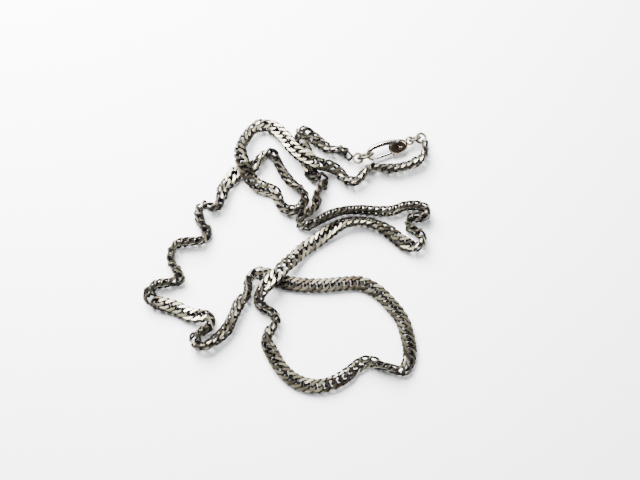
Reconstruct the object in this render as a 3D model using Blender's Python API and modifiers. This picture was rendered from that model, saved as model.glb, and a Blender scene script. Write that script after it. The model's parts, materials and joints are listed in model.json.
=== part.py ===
"""Chain necklace: a flat double curb chain lying in a loose heap, closed by a lobster clasp.

Units are metres, +Z is up, the heap rests on z = 0 and the heap's middle is the origin.
The route of the chain is given by hand in millimetres; every run of links is one solid.
"""
import math

import bmesh
import bpy
from mathutils import Matrix, Vector

MM = 0.001
WELD_DISTANCE = 1e-7
COLLECTION_NAME = "chain_necklace"
CUTTER_COLLECTION_NAME = "cutters"

# Chain
CHAIN_WIDTH = 4.0
CHAIN_THICKNESS = 2.1
LINK_PITCH = 1.8
EDGE_FLAT = 0.8
FACE_FLAT = 2.6
RUN_GAP = 0.36
EDGE_CLEARANCE = 0.08
END_TAPER = ((0.0, 0.42), (0.22, 0.74), (0.75, 1.0))
STATION_STEP = 1.3
ROUTE_STEP = 0.1
HEAP_SHIFT = (0.47, 0.29, 0.0)
SMOOTH_HALF_WINDOW = 8
SPLINE_PARTS = 12
SHARP_ANGLE = math.radians(32)

# Rings
RING_WIRE = 0.37
CATCH_RING_RADIUS = 2.15
TAIL_RING_RADIUS = 1.5
END_LINK_RADIUS = 1.3
TAIL_RING_CENTRE = (7.6, -0.2, 0.0)
CATCH_RING_CENTRE = (-6.59, -0.3, 0.0)
TAIL_LINK_CENTRE = (35.25, 31, 2.4)
CATCH_LINK_CENTRE = (18.2, 25.4, 2.36)
CATCH_RING_PIVOT = (-7.49, -0.5, 0.0)
RING_SEGMENTS = 24
WIRE_SEGMENTS = 8

# Clasp, in its own frame: x runs from the hook to the tail, y to the back, z through the flat
CLASP_POSITION = (26.4, 28.5, 2.5)
CLASP_HEADING = 19.0
CLASP_ROLL = 28.0
BULB_CENTRE = (2.6, -0.75)
BULB_RADII = (2.75, 2.05)
BULB_THICKNESS = 2.2
BULB_EDGE_BEVEL = 0.35
HOOK_WIRE = 0.6
HOOK_ROUTE = ((2.6, 0.6), (0.8, 1.15), (-1.2, 1.35), (-3.2, 1.32), (-4.6, 1.05), (-5.5, 0.5),
              (-5.95, -0.3), (-5.8, -1.15), (-5.25, -1.7), (-4.6, -1.92))
EYE_CENTRE = (6.1, -0.2)
EYE_RADIUS = 1.2
EYE_HOLE_RADIUS = 0.75
EYE_THICKNESS = 1.1
NECK_LOW = (4.3, -1.05, -0.75)
NECK_HIGH = (5.5, 0.65, 0.75)
SLOT_LOW = (-1.0, -4.0, -0.6)
SLOT_HIGH = (4.1, 0.5, 0.6)
THROUGH_CUT = 4.0
SMALL_ROUND_SIDES = 24
PIN_CENTRE = (3.0, -1.1)
PIN_RADIUS = 0.35
PIN_LENGTH = 2.1
PIN_HOLE_RADIUS = 0.42
LEVER_WIRE = 0.43
LEVER_EYE_RADIUS = 0.74
LEVER_EYE_THICKNESS = 0.9
LEVER_ROUTE = ((2.6, -1.3), (1.4, -1.72), (0.0, -1.88), (-1.8, -1.92), (-3.72, -1.9))
LEVER_TAB_LOW = (0.35, -3.25, -0.42)
LEVER_TAB_HIGH = (1.35, -1.7, 0.42)
SPRING_WIRE = 0.13
SPRING_ROUTE = ((3.8, 0.1), (2.6, 0.14), (1.6, 0.02), (1.0, -0.3))

# Route of the chain from the clasp's tail round to its hook: x, y, lift above the surface (mm)
# and roll about the route (degrees, 0 and 180 lie flat, 90 stands on edge).
ROUTE = (
    # down from the tail and back under the clasp
    (36.3, 29, 0, 88), (36.2, 27, 0, 85), (34.8, 25, 0, 75), (31.5, 23.5, 0, 62),
    (28.5, 22.8, 0, 60), (26, 22.7, 0, 60), (23, 23, 0, 70), (20.9, 22.5, 0, 80), (19.3, 20.6, 0, 75),
    (17, 18.9, 0, 68), (14.5, 20, 0, 60), (13, 22, 0, 45), (10, 23.3, 1.2, 30), (7.5, 23.3, 2.7, 20),
    # over the strand below it and up the right leg of the tall arch
    (5, 24.5, 3, 10), (2, 26.5, 3, 5), (-0.3, 29.2, 2.6, 0), (-2.4, 32.2, 1, 0), (-5, 34.5, 0, 8),
    (-7.5, 35, 0, 22), (-10.5, 33.5, 0, 42), (-12.5, 30.5, 0.2, 52), (-13.5, 27, 2.2, 35),
    # over the strand that enters the small arch, then the low loop to the right
    (-12.5, 23.5, 3, 15), (-11.2, 20.4, 2.2, 20), (-9, 18, 0.4, 45), (-6, 17, 0, 62),
    (-4, 16, 0, 75), (-3, 13.5, 0, 72), (-1.5, 11.5, 0, 75), (1.2, 11.2, 0, 85), (3, 12.4, 0, 90),
    (4, 14.5, 0, 90), (2.8, 16.8, 0, 80),
    # small inner arch
    (0.5, 18.5, 0, 60), (-1.5, 21, 0, 62), (-3, 23.5, 0, 72), (-4, 26, 0, 80), (-6, 27, 0, 80),
    (-8, 25.5, 0, 75), (-9.3, 23.8, 0, 35), (-11.3, 23, 0, 6), (-13.5, 22.6, 0, 0), (-15, 21.2, 0, 5),
    # down the left side in kinks
    (-16.3, 19.3, 0, 15), (-18, 17, 0, 40), (-18.5, 14, 0, 55), (-20.3, 11.8, 0, 80),
    (-23, 12.5, 0, 88), (-24.5, 10.5, 0, 90), (-23.5, 7.5, 0, 82), (-22, 5, 0, 88),
    (-23.5, 3, 0, 90), (-27.5, 2.5, 0, 90), (-30.5, 1.5, 0, 92), (-31.5, -1.5, 0, 95),
    (-30.8, -4, 0, 95), (-29.2, -5.6, 0, 92), (-29.4, -7.6, 0, 92), (-31.8, -8.4, 0, 95),
    (-34.8, -9, 0, 100), (-36.8, -10.4, 0, 105), (-36.8, -12.4, 0, 125),
    # flat stretch at the lower left, a twist, and the climb back
    (-34.5, -13.8, 0, 160), (-30, -15, 0, 175), (-26, -17, 0, 172), (-23, -17.2, 0, 150),
    (-21, -17.6, 0, 115), (-20.6, -19.4, 0, 98), (-22.2, -21.1, 0, 95),
    (-24.3, -22.2, 0, 95), (-24.5, -24.5, 0, 90),
    (-22.5, -25.2, 0, 100), (-19.3, -23.5, 0, 130), (-16.5, -20.8, 0, 145), (-14.7, -17.2, 0, 125),
    (-13, -13.5, 0, 140), (-11, -11, 0, 115), (-11, -8, 0, 105), (-9.5, -6, 0, 130),
    (-6.5, -6, 0, 175), (-3.5, -7.5, 0, 180),
    # the wide lower right loop
    (0, -8.5, 0, 180), (4.5, -9, 0, 180), (9.5, -9, 0, 180), (14.5, -8.5, 0, 180),
    (19, -8.5, 0, 180), (23, -10.5, 0, 180), (26.5, -14, 0, 180), (29.5, -18, 0, 180),
    (31, -23, 0, 180), (31.5, -27, 0, 165), (30.5, -30.5, 0, 135), (28.5, -31.5, 0, 110),
    (25.5, -30.5, 0, 95), (23, -30, 0, 95), (20.5, -29, 0, 115), (17.5, -30.5, 0, 140),
    (14.5, -33, 0, 155), (10.5, -35, 0, 170), (6.5, -35.5, 0, 180), (1.5, -34, 0, 180),
    (-2, -31, 0, 180), (-4.5, -27, 0, 165), (-6, -23.5, 0, 130), (-5, -21, 0, 120),
    (-3.5, -18.5, 0, 110), (-5, -16, 0, 100), (-7.5, -14.5, 0, 108), (-8, -12.5, 1.2, 115),
    # over the strand into the loop and up the long diagonal
    (-6, -9.5, 3, 160), (-3.5, -7, 3.2, 175), (-1.5, -4.5, 2.6, 188), (1, -2, 1.1, 185),
    (3.5, 0.5, 0.2, 182), (7.1, 2.9, 0, 180), (10.8, 5.6, 0, 160), (14.5, 7.6, 0, 132), (19, 8.1, 0, 125),
    (23.5, 7, 0, 132), (27, 5, 0, 160), (30, 2.5, 0, 175), (33, 1.3, 0, 145), (35, 2.2, 0, 110),
    # folded end at the right and the strand back beside it
    (35, 4.2, 0, 95), (33.2, 5.6, 0, 92), (31.6, 7.2, 0, 90), (32.2, 8.9, 0, 90), (34.4, 9, 0, 90),
    (36.3, 9.5, 0, 90), (36.6, 11.3, 0, 90), (34.8, 12.2, 0, 92), (32.5, 12.4, 0, 95),
    (30, 12, 0, 100), (27.5, 11, 0, 102), (24, 10.8, 0, 100),
    (19, 11.2, 0, 96), (14.5, 11, 0, 95), (10.5, 9.8, 0, 98), (7.5, 8.2, 0, 97), (4.4, 6.9, 0, 95),
    # up the middle, under the arch's leg, and across to the clasp's hook
    (2.4, 7.8, 0, 94), (3.2, 9.5, 0, 92), (5.4, 10.8, 0, 92), (7.1, 13, 0, 95), (7.1, 15.4, 0, 98),
    (8.2, 17.2, 0, 95), (9.2, 18.6, 0, 92), (8.6, 20, 0, 95), (6.6, 20.4, 0, 120), (5.2, 21.8, 0, 160),
    (4.8, 24.5, 0, 176), (4.1, 27.2, 0, 176), (2.9, 29.7, 0, 165), (2.1, 31.9, 0, 125),
    (3.2, 33.2, 0, 95), (4.8, 32.8, 0, 110), (6, 31.5, 0, 140),
    (8.5, 29.5, 0, 140), (11, 27.8, 0, 125), (13, 28, 0, 100), (14.5, 27.5, 0, 95),
    (15.5, 26, 0, 95),
)

# Links in each run, in order along the route; two runs in the middle stay still, and the runs
# before and after them hang on them one by one
FIRST_FIXED_RUN = 21
RUN_LINKS = (5, 4, 6, 6, 6, 6, 6, 6, 6, 6, 6, 6, 8, 7, 7, 7, 7, 6, 7, 7, 7, 6,
             6, 6, 6, 6, 6, 6, 6, 6, 6, 6, 6, 6, 6, 6, 6, 6, 6, 6, 4, 4, 6, 5, 5)

SILVER = (0.56, 0.53, 0.45)
POLISHED_SILVER = (0.74, 0.72, 0.69)
SPRING_STEEL = (0.45, 0.45, 0.46)
SHADE_SPREAD = 0.03
SHADE_TURN = 2.4


def section_outline():
    """Return the chain's flattened oval section as x, y pairs round the middle."""
    half_w, half_t = CHAIN_WIDTH / 2, CHAIN_THICKNESS / 2
    flat_w, flat_t = FACE_FLAT / 2, EDGE_FLAT / 2
    return ((half_w, -flat_t), (half_w, flat_t), (flat_w, half_t), (-flat_w, half_t),
            (-half_w, flat_t), (-half_w, -flat_t), (-flat_w, -half_t), (flat_w, -half_t))


def half_height(roll):
    """Return how far the section reaches below its middle when it is rolled."""
    turn = math.radians(roll)
    return max(abs(x * math.sin(turn) + y * math.cos(turn)) for x, y in section_outline())


def spline_point(points, index, t):
    """Interpolate between points[index] and the next with a centripetal Catmull-Rom spline."""
    last = len(points) - 1
    quad = [points[min(max(index + offset, 0), last)] for offset in (-1, 0, 1, 2)]
    if index == 0:
        quad[0] = tuple(2 * a - b for a, b in zip(points[0], points[1]))
    if index == last - 1:
        quad[3] = tuple(2 * a - b for a, b in zip(points[last], points[last - 1]))
    knots = [0.0]
    for a, b in zip(quad, quad[1:]):
        knots.append(knots[-1] + max(math.sqrt(math.dist(a[:2], b[:2])), 1e-6))
    u = knots[1] + t * (knots[2] - knots[1])

    def mix(a, b, ka, kb):
        return tuple(((kb - u) * x + (u - ka) * y) / (kb - ka) for x, y in zip(a, b))

    low = mix(quad[0], quad[1], knots[0], knots[1])
    mid = mix(quad[1], quad[2], knots[1], knots[2])
    high = mix(quad[2], quad[3], knots[2], knots[3])
    low_mid = mix(low, mid, knots[0], knots[2])
    mid_high = mix(mid, high, knots[1], knots[3])
    return mix(low_mid, mid_high, knots[1], knots[2])


def even_steps(rows, step):
    """Resample rows of x, y, ... to equal steps along the x, y path."""
    lengths = [0.0]
    for a, b in zip(rows, rows[1:]):
        lengths.append(lengths[-1] + math.dist(a[:2], b[:2]))
    count = int(lengths[-1] / step)
    result = []
    index = 0
    for k in range(count + 1):
        s = k * step
        while index < len(rows) - 2 and lengths[index + 1] < s:
            index += 1
        t = (s - lengths[index]) / max(lengths[index + 1] - lengths[index], 1e-9)
        result.append(tuple(a + (b - a) * t for a, b in zip(rows[index], rows[index + 1])))
    return result


def smooth(rows, half_window):
    """Average each row with its neighbours, with a window that shrinks at the ends."""
    result = []
    for i in range(len(rows)):
        reach = min(half_window, i, len(rows) - 1 - i)
        window = rows[i - reach:i + reach + 1]
        result.append(tuple(sum(column) / len(window) for column in zip(*window)))
    return result


def chain_path():
    """Return the chain's middle line as rows of x, y, z, roll at equal steps."""
    fine = []
    for index in range(len(ROUTE) - 1):
        fine.extend(spline_point(ROUTE, index, k / SPLINE_PARTS) for k in range(SPLINE_PARTS))
    fine.append(tuple(ROUTE[-1]))
    rows = even_steps(fine, ROUTE_STEP)
    rows = smooth(smooth(rows, SMOOTH_HALF_WINDOW), SMOOTH_HALF_WINDOW)
    rows = even_steps(rows, ROUTE_STEP)
    path = []
    for x, y, lift, roll in rows:
        clearance = EDGE_CLEARANCE * abs(math.sin(math.radians(roll)))
        height = lift + half_height(roll) + clearance
        path.append((x + HEAP_SHIFT[0], y + HEAP_SHIFT[1], height, roll))
    return path


def path_at(path, s):
    """Return x, y, z, roll at a distance along the path, running straight on past its ends."""
    k = min(max(s / ROUTE_STEP, 0.0), len(path) - 1.001)
    index = int(k)
    t = s / ROUTE_STEP - index
    return tuple(a + (b - a) * t for a, b in zip(path[index], path[index + 1]))


def run_spans():
    """Return the start and end distance of each run; neighbours share a pivot."""
    spans = []
    s = 0.0
    for links in RUN_LINKS:
        spans.append((s, s + links * LINK_PITCH))
        s += links * LINK_PITCH
    return spans


def clear_scene():
    """Remove whatever the new scene holds."""
    for obj in list(bpy.data.objects):
        bpy.data.objects.remove(obj, do_unlink=True)


def make_collection(name):
    """Make a collection in the scene."""
    collection = bpy.data.collections.new(name)
    bpy.context.scene.collection.children.link(collection)
    return collection


def make_material(name, colour, roughness, metallic):
    """Make a Principled material."""
    material = bpy.data.materials.new(name)
    material.use_nodes = True
    shader = material.node_tree.nodes["Principled BSDF"]
    shader.inputs["Base Color"].default_value = (*colour, 1.0)
    shader.inputs["Roughness"].default_value = roughness
    shader.inputs["Metallic"].default_value = metallic
    material.diffuse_color = (*colour, 1.0)
    return material


def to_mesh(obj, collection):
    """Turn a curve into a closed mesh object of the same name, its caps welded on."""
    name = obj.name
    depsgraph = bpy.context.evaluated_depsgraph_get()
    mesh = bpy.data.meshes.new_from_object(obj.evaluated_get(depsgraph))
    matrix = obj.matrix_world.copy()
    bpy.data.objects.remove(obj, do_unlink=True)
    mesh.name = name
    shell = bmesh.new()
    shell.from_mesh(mesh)
    bmesh.ops.remove_doubles(shell, verts=shell.verts, dist=WELD_DISTANCE)
    bmesh.ops.recalc_face_normals(shell, faces=shell.faces)
    shell.to_mesh(mesh)
    shell.free()
    result = bpy.data.objects.new(name, mesh)
    result.matrix_world = matrix
    collection.objects.link(result)
    return result


def bake_modifiers(obj):
    """Apply an object's modifiers to its mesh."""
    bpy.context.view_layer.update()
    depsgraph = bpy.context.evaluated_depsgraph_get()
    mesh = bpy.data.meshes.new_from_object(obj.evaluated_get(depsgraph))
    old = obj.data
    obj.modifiers.clear()
    obj.data = mesh
    bpy.data.meshes.remove(old)
    return obj


def poly_curve(name, points, collection, radii=None, tilts=None):
    """Make an open POLY curve through points in metres."""
    curve = bpy.data.curves.new(name, "CURVE")
    curve.dimensions = "3D"
    curve.render_resolution_u = 0
    curve.use_fill_caps = True
    curve.twist_mode = "Z_UP"
    spline = curve.splines.new("POLY")
    spline.points.add(len(points) - 1)
    for k, point in enumerate(points):
        spline.points[k].co = (*point, 1.0)
        spline.points[k].radius = radii[k] if radii else 1.0
        spline.points[k].tilt = tilts[k] if tilts else 0.0
    obj = bpy.data.objects.new(name, curve)
    collection.objects.link(obj)
    return obj


def make_profile(collection):
    """Make the closed section curve that every run is swept with."""
    curve = bpy.data.curves.new("chain_section", "CURVE")
    curve.dimensions = "2D"
    spline = curve.splines.new("POLY")
    outline = section_outline()
    spline.points.add(len(outline) - 1)
    for k, (x, y) in enumerate(outline):
        spline.points[k].co = (x * MM, y * MM, 0.0, 1.0)
    spline.use_cyclic_u = True
    obj = bpy.data.objects.new("chain_section", curve)
    collection.objects.link(obj)
    obj.hide_render = True
    return obj


def make_run(number, path, span, profile, pivot_s, collection):
    """Sweep one run of links; its origin is the pivot it hangs on."""
    start, end = span[0] + RUN_GAP / 2, span[1] - RUN_GAP / 2
    inner_low, inner_high = start + END_TAPER[-1][0], end - END_TAPER[-1][0]
    pieces = max(1, round((inner_high - inner_low) / STATION_STEP))
    stations = [(start + offset, scale) for offset, scale in END_TAPER]
    stations += [(inner_low + (inner_high - inner_low) * k / pieces, 1.0) for k in range(1, pieces)]
    stations += [(end - offset, scale) for offset, scale in reversed(END_TAPER)]
    pivot = Vector(path_at(path, pivot_s)[:3]) * MM
    rows = [path_at(path, s) for s, scale in stations]
    points = [Vector(row[:3]) * MM - pivot for row in rows]
    name = f"run_{number:02d}"
    obj = poly_curve(name, points, collection, radii=[scale for s, scale in stations],
                     tilts=[math.radians(row[3]) for row in rows])
    obj.data.bevel_mode = "OBJECT"
    obj.data.bevel_object = profile
    obj.location = pivot
    bpy.context.view_layer.update()
    result = to_mesh(obj, collection)
    shade = SHADE_SPREAD * math.sin(number * SHADE_TURN)
    colour = tuple(channel + shade for channel in SILVER)
    result.data.materials.append(make_material(f"silver_{name}", colour, 0.3, 1.0))
    return shade_round(result)


def wire_along(name, route, radius, collection):
    """Sweep a round wire along x, y points in the clasp's flat plane."""
    points = [(x * MM, y * MM, 0.0) for x, y in route]
    obj = poly_curve(name, points, collection)
    obj.data.bevel_depth = radius * MM
    obj.data.bevel_resolution = 2
    bpy.context.view_layer.update()
    return to_mesh(obj, collection)


def cylinder(name, centre, radii, depth, collection, sides=32):
    """Make an upright elliptical cylinder in the clasp's frame."""
    bpy.ops.mesh.primitive_cylinder_add(vertices=sides, radius=1.0, depth=1.0)
    obj = bpy.context.active_object
    size = Matrix.Diagonal((radii[0] * MM, radii[1] * MM, depth * MM, 1.0))
    obj.data.transform(Matrix.Translation(Vector((*centre, 0.0)) * MM) @ size)
    return adopt(obj, name, collection)


def block(name, low, high, collection):
    """Make a box between two corners in the clasp's frame."""
    bpy.ops.mesh.primitive_cube_add(size=1.0)
    obj = bpy.context.active_object
    middle = (Vector(low) + Vector(high)) / 2 * MM
    size = (Vector(high) - Vector(low)) * MM
    obj.data.transform(Matrix.Translation(middle) @ Matrix.Diagonal((*size, 1.0)))
    return adopt(obj, name, collection)


def adopt(obj, name, collection):
    """Name an object and move it to a collection."""
    obj.name = name
    obj.data.name = name
    for owner in list(obj.users_collection):
        owner.objects.unlink(obj)
    collection.objects.link(obj)
    return obj


def bevel_edges(obj, width, angle=0.6):
    """Round off the sharp edges."""
    modifier = obj.modifiers.new("bevel", "BEVEL")
    modifier.width = width * MM
    modifier.segments = 2
    modifier.limit_method = "ANGLE"
    modifier.angle_limit = angle
    return bake_modifiers(obj)


def combine(obj, tools, operation):
    """Apply exact Booleans to an object and put the tools out of sight."""
    for tool in tools:
        tool.hide_render = True
        tool.display_type = "WIRE"
        modifier = obj.modifiers.new(tool.name, "BOOLEAN")
        modifier.operation = operation
        modifier.solver = "EXACT"
        modifier.object = tool
    return bake_modifiers(obj)


def shade_round(obj):
    """Shade a round piece smooth, with its real edges kept sharp."""
    obj.data.shade_smooth()
    obj.data.set_sharp_from_angle(angle=SHARP_ANGLE)
    return obj


def ring(name, radius, matrix, pivot, collection):
    """Make a round wire ring about the z axis of the matrix; its origin is its joint's pivot."""
    bpy.ops.mesh.primitive_torus_add(major_radius=radius * MM, minor_radius=RING_WIRE * MM,
                                     major_segments=RING_SEGMENTS, minor_segments=WIRE_SEGMENTS)
    obj = adopt(bpy.context.active_object, name, collection)
    obj.data.transform(Matrix.Translation(-pivot) @ matrix)
    obj.location = pivot
    obj.data.materials.append(make_material(f"silver_{name}", SILVER, 0.28, 1.0))
    return shade_round(obj)


def at(point):
    """Return a move to a point given in millimetres."""
    return Matrix.Translation(Vector(point) * MM)


def clasp_matrix():
    """Return the clasp's frame in the row frame."""
    return (at(Vector(CLASP_POSITION) + Vector(HEAP_SHIFT))
            @ Matrix.Rotation(math.radians(CLASP_HEADING), 4, "Z")
            @ Matrix.Rotation(math.radians(CLASP_ROLL), 4, "X"))


def place(obj, origin, material):
    """Put a piece made in the clasp's frame into the row, with its origin at a clasp point."""
    local = Vector((*origin, 0.0)) * MM
    matrix = clasp_matrix()
    obj.data.transform(matrix.to_3x3().to_4x4() @ Matrix.Translation(-local))
    obj.location = matrix @ local
    obj.data.materials.clear()
    obj.data.materials.append(material)
    return shade_round(obj)


def make_clasp(collection, cutters):
    """Make the clasp's body, pin, lever and spring."""
    polished = make_material("silver_clasp_body", POLISHED_SILVER, 0.14, 1.0)
    body = cylinder("clasp_body", BULB_CENTRE, BULB_RADII, BULB_THICKNESS, collection)
    bevel_edges(body, BULB_EDGE_BEVEL)
    hook = wire_along("hook", HOOK_ROUTE, HOOK_WIRE, cutters)
    neck = block("neck", NECK_LOW, NECK_HIGH, cutters)
    eye = cylinder("eye", EYE_CENTRE, (EYE_RADIUS, EYE_RADIUS), EYE_THICKNESS, cutters,
                   sides=SMALL_ROUND_SIDES)
    combine(body, (hook, neck, eye), "UNION")
    slot = block("slot", SLOT_LOW, SLOT_HIGH, cutters)
    hole = cylinder("eye_hole", EYE_CENTRE, (EYE_HOLE_RADIUS, EYE_HOLE_RADIUS), THROUGH_CUT,
                    cutters, sides=SMALL_ROUND_SIDES)
    bore = cylinder("pin_bore", PIN_CENTRE, (PIN_HOLE_RADIUS, PIN_HOLE_RADIUS), THROUGH_CUT,
                    cutters, sides=SMALL_ROUND_SIDES)
    combine(body, (slot, hole, bore), "DIFFERENCE")
    place(body, EYE_CENTRE, polished)

    pin = cylinder("clasp_pin", PIN_CENTRE, (PIN_RADIUS, PIN_RADIUS), PIN_LENGTH, collection,
                   sides=SMALL_ROUND_SIDES)
    place(pin, PIN_CENTRE, make_material("silver_clasp_pin", POLISHED_SILVER, 0.2, 1.0))

    lever = wire_along("clasp_lever", LEVER_ROUTE, LEVER_WIRE, collection)
    lever_eye = cylinder("lever_eye", PIN_CENTRE, (LEVER_EYE_RADIUS, LEVER_EYE_RADIUS),
                         LEVER_EYE_THICKNESS, cutters, sides=SMALL_ROUND_SIDES)
    tab = block("lever_tab", LEVER_TAB_LOW, LEVER_TAB_HIGH, cutters)
    combine(lever, (lever_eye, tab), "UNION")
    lever_bore = cylinder("lever_bore", PIN_CENTRE, (PIN_HOLE_RADIUS, PIN_HOLE_RADIUS), THROUGH_CUT,
                          cutters, sides=SMALL_ROUND_SIDES)
    combine(lever, (lever_bore,), "DIFFERENCE")
    place(lever, PIN_CENTRE, make_material("silver_clasp_lever", POLISHED_SILVER, 0.16, 1.0))

    spring = wire_along("clasp_spring", SPRING_ROUTE, SPRING_WIRE, collection)
    place(spring, PIN_CENTRE, make_material("steel_clasp_spring", SPRING_STEEL, 0.35, 1.0))


def make_rings(path, chain_end, collection):
    """Make the tail ring, the catch ring and the chain's two round end links."""
    frame = clasp_matrix()
    upright = Matrix.Rotation(math.pi / 2, 4, "X")
    for name, radius, centre, pivot in (
            ("tail_ring", TAIL_RING_RADIUS, TAIL_RING_CENTRE, (*EYE_CENTRE, 0.0)),
            ("catch_ring", CATCH_RING_RADIUS, CATCH_RING_CENTRE, CATCH_RING_PIVOT)):
        ring(name, radius, frame @ at(centre) @ upright, frame @ (Vector(pivot) * MM), collection)
    for name, centre, s in (("tail_link", TAIL_LINK_CENTRE, 0.0),
                            ("catch_link", CATCH_LINK_CENTRE, chain_end)):
        pivot = Vector(path_at(path, s)[:3]) * MM
        ring(name, END_LINK_RADIUS, at(Vector(centre) + Vector(HEAP_SHIFT)), pivot, collection)


def build():
    """Build every piece."""
    clear_scene()
    collection = make_collection(COLLECTION_NAME)
    cutters = make_collection(CUTTER_COLLECTION_NAME)
    profile = make_profile(cutters)
    path = chain_path()
    spans = run_spans()
    for number, span in enumerate(spans, start=1):
        pivot_s = span[1] if number < FIRST_FIXED_RUN else span[0]
        make_run(number, path, span, profile, pivot_s, collection)
    make_clasp(collection, cutters)
    make_rings(path, spans[-1][1], collection)
    for tool in cutters.objects:
        tool.hide_render = True
        tool.display_type = "WIRE"
    bpy.context.view_layer.update()


build()
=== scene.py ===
import json
import math
import random

import bmesh
import bpy
import numpy as np
from mathutils import Matrix, Vector


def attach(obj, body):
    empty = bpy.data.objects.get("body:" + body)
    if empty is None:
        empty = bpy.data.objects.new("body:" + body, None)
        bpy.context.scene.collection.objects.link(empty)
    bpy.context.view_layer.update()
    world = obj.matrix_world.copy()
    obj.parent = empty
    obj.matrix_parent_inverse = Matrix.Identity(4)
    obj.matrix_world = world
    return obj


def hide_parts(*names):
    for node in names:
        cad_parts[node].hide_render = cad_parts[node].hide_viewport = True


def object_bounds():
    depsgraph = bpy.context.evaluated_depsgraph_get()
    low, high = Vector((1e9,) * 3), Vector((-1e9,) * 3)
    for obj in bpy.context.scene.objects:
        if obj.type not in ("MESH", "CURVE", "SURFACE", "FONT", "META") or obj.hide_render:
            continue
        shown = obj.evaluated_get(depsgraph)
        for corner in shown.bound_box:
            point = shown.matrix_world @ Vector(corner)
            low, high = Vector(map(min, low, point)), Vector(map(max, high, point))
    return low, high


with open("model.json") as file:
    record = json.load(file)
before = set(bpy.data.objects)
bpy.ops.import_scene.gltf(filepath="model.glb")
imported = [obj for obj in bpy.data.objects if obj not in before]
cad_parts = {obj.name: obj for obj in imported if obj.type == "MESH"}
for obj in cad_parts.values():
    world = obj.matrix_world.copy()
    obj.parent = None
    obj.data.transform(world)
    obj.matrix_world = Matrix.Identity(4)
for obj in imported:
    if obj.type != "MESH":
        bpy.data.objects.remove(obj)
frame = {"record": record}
CAD_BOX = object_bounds()

MM = 0.001

# Chain: the same section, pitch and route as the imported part
CHAIN_WIDTH = 4.0
CHAIN_THICKNESS = 2.1
LINK_PITCH = 1.8
EDGE_FLAT = 0.8
FACE_FLAT = 2.6
EDGE_CLEARANCE = 0.08
ROUTE_STEP = 0.1
SMOOTH_HALF_WINDOW = 8
SPLINE_PARTS = 12
HEAP_SHIFT = (0.47, 0.29, 0.0)

# One curb link, before it is cut: half length, half width and height of the wire's middle line
LINK_HALF_LENGTH = 2.25
LINK_HALF_WIDTH = 1.6
LINK_LAYER = 0.73
LINK_WIRE = 0.385
LINK_STEPS = 56
LINK_SIDES = 14
LAYER_SHARPNESS = 2.2
LINK_SQUARENESS = 1.25
TANGENT_STEP = 0.01
WELD_DISTANCE = 0.004
# The diamond cut, as heights, widths and tilts of its planes across the chain
CUT_TOP = 0.97
CUT_RIDGE_RISE = 0.03
CUT_RIDGE_TILT = math.radians(5.0)
CUT_CHAMFER_TILT = math.radians(48.0)
CUT_CHAMFER_AT = (1.54, 0.86)
CUT_EDGE = 1.97
# How loosely a link lies: a little everywhere, and much more in a tight bend
LINK_ROLL_JITTER = math.radians(2.6)
LINK_YAW_JITTER = math.radians(1.2)
LINK_SLIDE_JITTER = 0.035
BEND_REACH = 1.5
BEND_LOOSENESS = 7.0
EASY_BEND = 0.38
TRACK_REACH = 4
# Shares of stiffness to try in turn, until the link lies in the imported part's box
LINK_STIFFNESS = (0.75, 0.6, 0.45, 0.3, 0.15, 0.0)
TONE_MIDDLE = 0.5
TONE_SPREAD = 0.22
SEED = 4171

# Rings and clasp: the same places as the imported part
RING_WIRE = 0.37
CATCH_RING_RADIUS = 2.15
TAIL_RING_RADIUS = 1.5
END_LINK_RADIUS = 1.3
TAIL_RING_CENTRE = (7.6, -0.2, 0.0)
CATCH_RING_CENTRE = (-6.59, -0.3, 0.0)
TAIL_LINK_CENTRE = (35.25, 31, 2.4)
CATCH_LINK_CENTRE = (18.2, 25.4, 2.36)
CLASP_POSITION = (26.4, 28.5, 2.5)
CLASP_HEADING = 19.0
CLASP_ROLL = 28.0
BULB_CENTRE = (2.6, -0.75)
EYE_CENTRE = (6.1, -0.2)
PIN_CENTRE = (3.0, -1.1)

# Clasp outlines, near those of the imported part; the hook is a flat band, taller than its round wire
BULB_RADII = (2.72, 2.03)
BULB_HALF_THICKNESS = 1.12
PANEL_SHARE = 0.72
PANEL_DEPTH = 0.10
PANEL_EDGE = 0.25
PANEL_REACH = 0.7
POLE_RADIUS = 0.02
# Where the neck's broad faces take the same brown as the bulb's painted reflection
NECK_BROWN_END = 0.75
NECK_BROWN_HEIGHT = 0.35
LEVER_HUB_RADIUS = 0.72
LEVER_HUB_HALF_THICKNESS = 0.42
SPRING_HALF_THICKNESS = 0.06
SPRING_HALF_HEIGHT = 0.26
SLOT_LOW = (-1.0, -4.0, -0.55)
SLOT_HIGH = (4.1, 0.5, 0.55)
# Turned profiles as radius and height
EYE_PROFILE = ((1.25, -0.4), (1.25, 0.4), (1.1, 0.58), (0.6, 0.58), (0.6, -0.58), (1.1, -0.58))
EYE_HOLE_PROFILE = ((0.75, -3.0), (0.75, 3.0))
RIVET_PROFILE = ((0.02, -1.2), (0.26, -1.19), (0.46, -1.13), (0.52, -1.04), (0.36, -1.0), (0.34, 0.0),
                 (0.36, 1.0), (0.52, 1.04), (0.46, 1.13), (0.26, 1.19), (0.02, 1.2))
# How a bar's rounded end narrows: distance from the tip and share of the full section
END_TAPER = ((0.3, 0.93), (0.12, 0.72), (0.0, 0.35))
SQUARE_END = ((0.0, 1.0),)
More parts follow.
